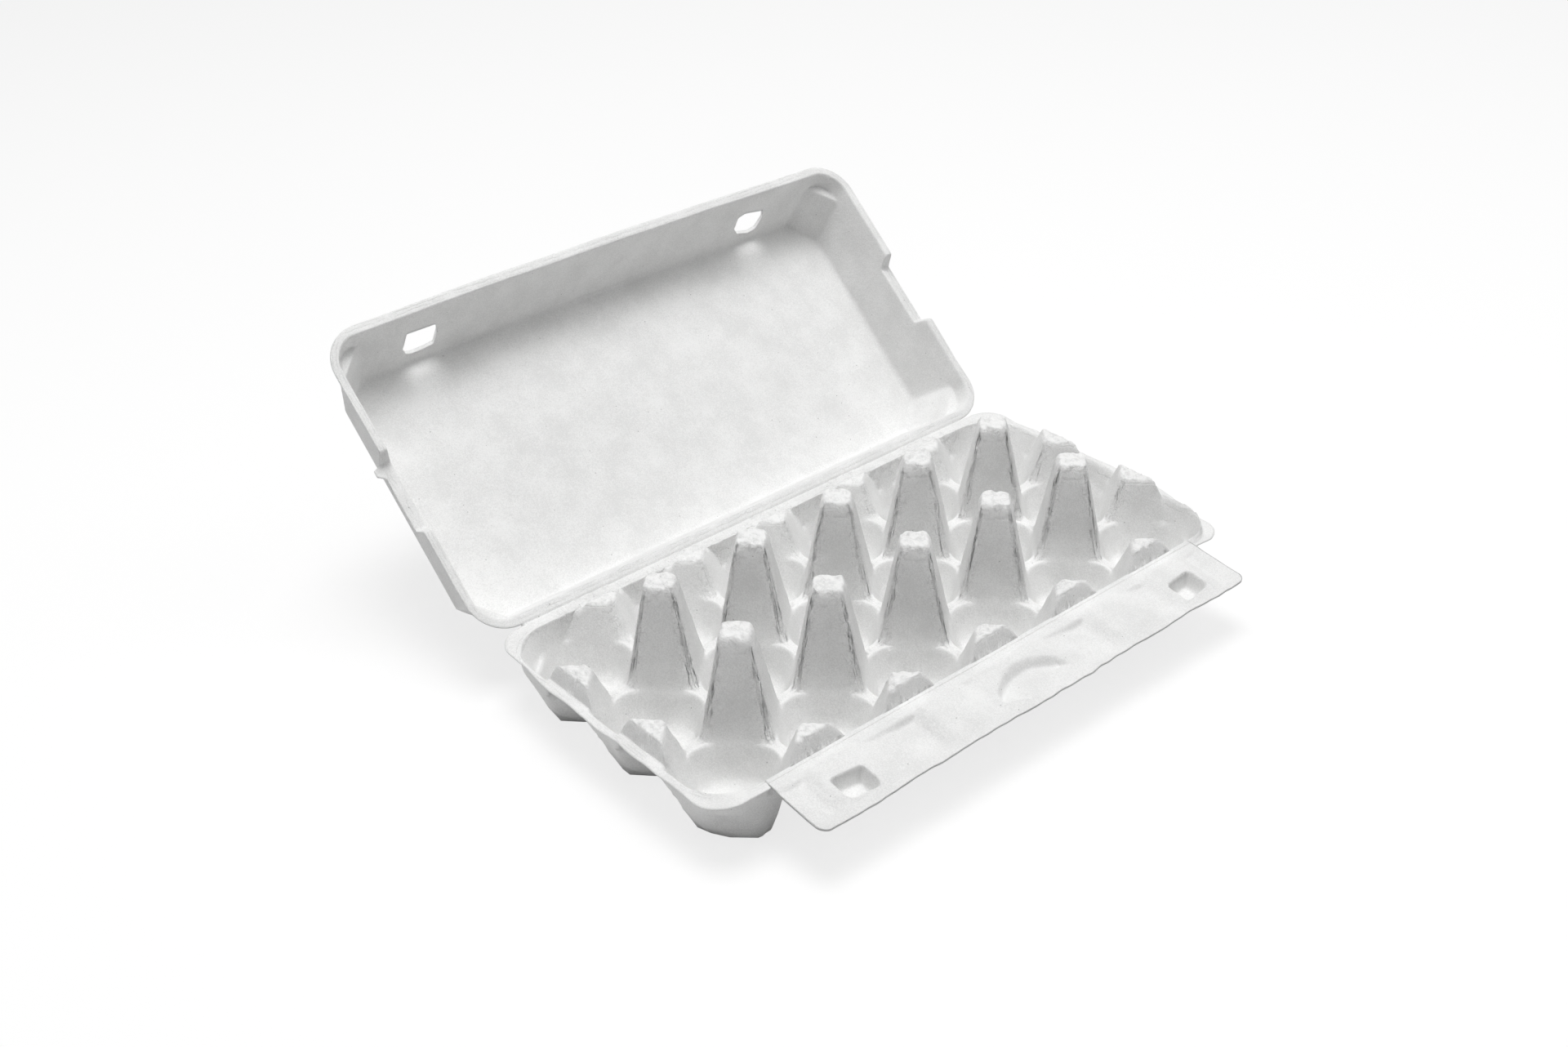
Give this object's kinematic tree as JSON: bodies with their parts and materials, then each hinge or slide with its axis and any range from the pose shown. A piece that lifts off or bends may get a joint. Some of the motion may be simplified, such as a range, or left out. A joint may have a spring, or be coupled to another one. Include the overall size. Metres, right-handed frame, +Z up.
{
  "type": "moulded pulp egg carton",
  "caption": "Open egg carton of moulded paper pulp: cupped tray with posts, hinged box lid with two lock windows, folding front lock flap.",
  "frame": {"origin": "on the ground, under the middle of the open carton's outline", "axes": "+X along the carton and its two hinges, +Y from the lock flap towards the open lid, +Z up"},
  "size_m": [0.291, 0.301, 0.1279],
  "materials": {
    "pulp": "matte, dry and finely fibrous"
  },
  "bodies": {
    "tray": {"tray": "pulp"},
    "lid": {"lid": "pulp"},
    "lock_flap": {"lock_flap": "pulp"}
  },
  "joints": [
    {"name": "lid_hinge", "type": "hinge", "parent": "tray", "child": "lid", "pos_m": [0, 0.02469, 0.02875], "axis": [1, 0, 0], "range_deg": [-22, 138]},
    {"name": "flap_hinge", "type": "hinge", "parent": "tray", "child": "lock_flap", "pos_m": [0, -0.11846, 0.0294], "axis": [-1, 0, 0], "range_deg": [-5, 112]}
  ]
}
